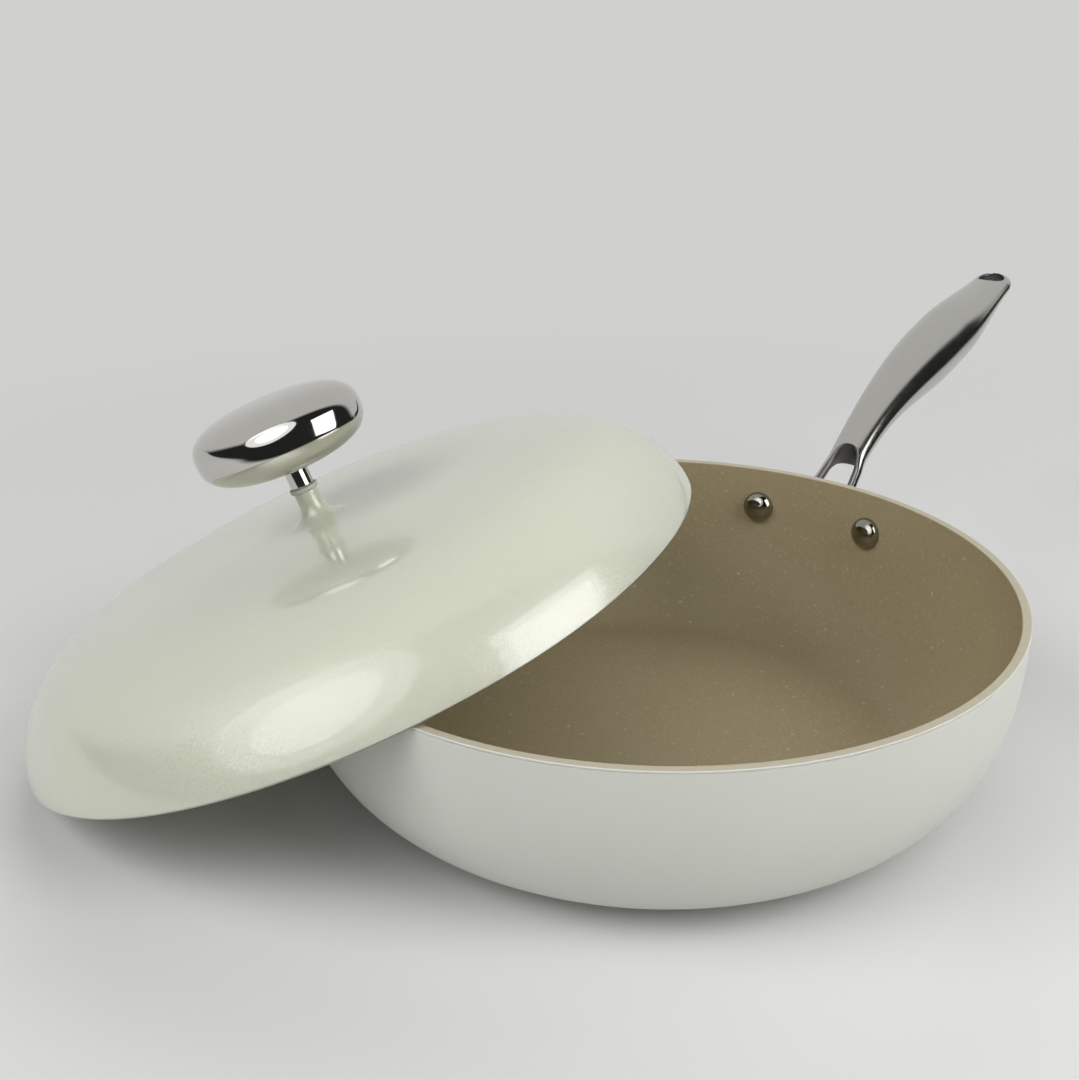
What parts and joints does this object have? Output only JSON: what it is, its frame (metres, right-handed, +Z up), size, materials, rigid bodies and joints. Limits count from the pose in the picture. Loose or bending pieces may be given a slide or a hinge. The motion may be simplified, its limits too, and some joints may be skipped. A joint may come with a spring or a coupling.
{
  "type": "frying pan with lid",
  "caption": "Deep round frying pan with a forked steel handle riveted to the wall, and a domed lid with a pebble knob that leans against the rim and lifts off.",
  "frame": {"origin": "centre of the induction plate's underside, on the table", "axes": "+Z up, +X along the handle away from the pan"},
  "size_m": [0.5323, 0.3794, 0.1477],
  "materials": {
    "satin_white": "satin white coating on pressed aluminium",
    "beige_ceramic": "matte beige ceramic non-stick coat with pale speckles",
    "brushed_steel": "plain brushed steel",
    "polished_steel": "mirror polished stainless steel",
    "pearl_cream": "gloss pearl cream coating on pressed aluminium",
    "silicone": "soft translucent silicone"
  },
  "bodies": {
    "pan": {"pan_body": "satin_white", "ceramic_lining": "beige_ceramic", "induction_plate": "brushed_steel", "handle": "polished_steel", "rivet_left": "polished_steel", "rivet_right": "polished_steel"},
    "lid": {"lid_shell": "pearl_cream", "neck_gasket": "silicone", "knob_stem": "polished_steel", "knob": "polished_steel", "knob_screw": "brushed_steel", "screw_washer": "brushed_steel"}
  },
  "joints": [
    {"name": "lid_lift", "type": "slide", "parent": "pan", "child": "lid", "axis": [0, 0, 1], "range_m": [0, 0.2]}
  ]
}
